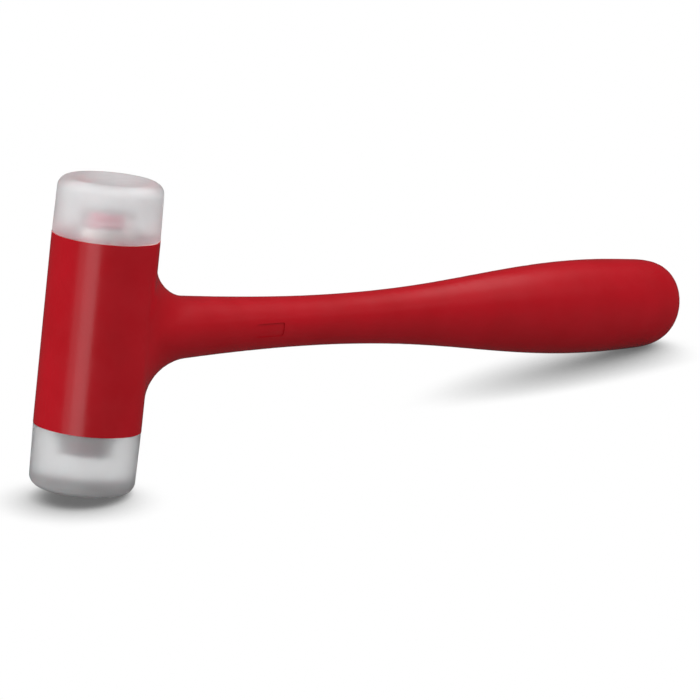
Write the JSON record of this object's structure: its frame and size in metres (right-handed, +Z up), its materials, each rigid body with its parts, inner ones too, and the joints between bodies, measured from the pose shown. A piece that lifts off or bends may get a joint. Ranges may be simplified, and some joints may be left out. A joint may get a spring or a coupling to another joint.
{
  "type": "dead blow mallet",
  "caption": "Dead blow mallet with a one-piece moulded barrel and oval handle, loose steel shot sealed in the head, and two screw-on translucent striking faces.",
  "frame": {"origin": "centre of the lower striking face", "axes": "+Z up from the bench that the mallet lies on, touching it with the rim of the lower face and the belly of the grip; +X level, from the head towards the butt; the axis of the head leans 8.97 degrees from +Z towards +X"},
  "size_m": [0.3181, 0.04, 0.119],
  "materials": {
    "body_red": "moulded tough nylon, soft gloss",
    "plug_red": "moulded, soft gloss",
    "face_milky": "translucent milky, lightly matt",
    "canister_steel": "drawn tube, zinc plated",
    "shot_steel": "hardened balls, oiled",
    "skeleton_steel": "plain steel",
    "cushion_rubber": "matt",
    "ring_rubber": "matt",
    "cap_nylon": "matt"
  },
  "bodies": {
    "mallet": {"moulded_body": "body_red", "upper_plug": "plug_red", "lower_plug": "plug_red", "canister_tube": "canister_steel", "canister_upper_disc": "canister_steel", "canister_lower_disc": "canister_steel", "canister_filler_plug": "canister_steel", "upper_cushion": "cushion_rubber", "lower_cushion": "cushion_rubber", "core_collar": "skeleton_steel", "handle_core": "skeleton_steel", "core_pin": "skeleton_steel", "core_end_cap": "cap_nylon"},
    "shot": {"shot": "shot_steel"},
    "upper_ring": {"upper_grip_ring": "ring_rubber"},
    "upper_face": {"upper_face": "face_milky"},
    "lower_ring": {"lower_grip_ring": "ring_rubber"},
    "lower_face": {"lower_face": "face_milky"}
  },
  "joints": [
    {"name": "shot_slide", "type": "slide", "parent": "mallet", "child": "shot", "axis": [0.156, 0, 0.9878], "range_m": [0, 0.0171]},
    {"name": "upper_face_advance", "type": "slide", "parent": "mallet", "child": "upper_ring", "axis": [0.156, 0, 0.9878], "range_m": [0, 0.0121]},
    {"name": "upper_face_turn", "type": "hinge", "parent": "upper_ring", "child": "upper_face", "pos_m": [0.01474, 0, 0.09334], "axis": [0.156, 0, 0.9878], "range_deg": [0, 1440]},
    {"name": "lower_face_advance", "type": "slide", "parent": "mallet", "child": "lower_ring", "axis": [-0.156, 0, -0.9878], "range_m": [0, 0.0121]},
    {"name": "lower_face_turn", "type": "hinge", "parent": "lower_ring", "child": "lower_face", "pos_m": [0.00363, 0, 0.02301], "axis": [-0.156, 0, -0.9878], "range_deg": [0, 1440]}
  ],
  "couplings": [
    {"joint": "upper_face_advance", "follows": "upper_face_turn", "m_per_rad": 0.00047746},
    {"joint": "lower_face_advance", "follows": "lower_face_turn", "m_per_rad": 0.00047746}
  ]
}
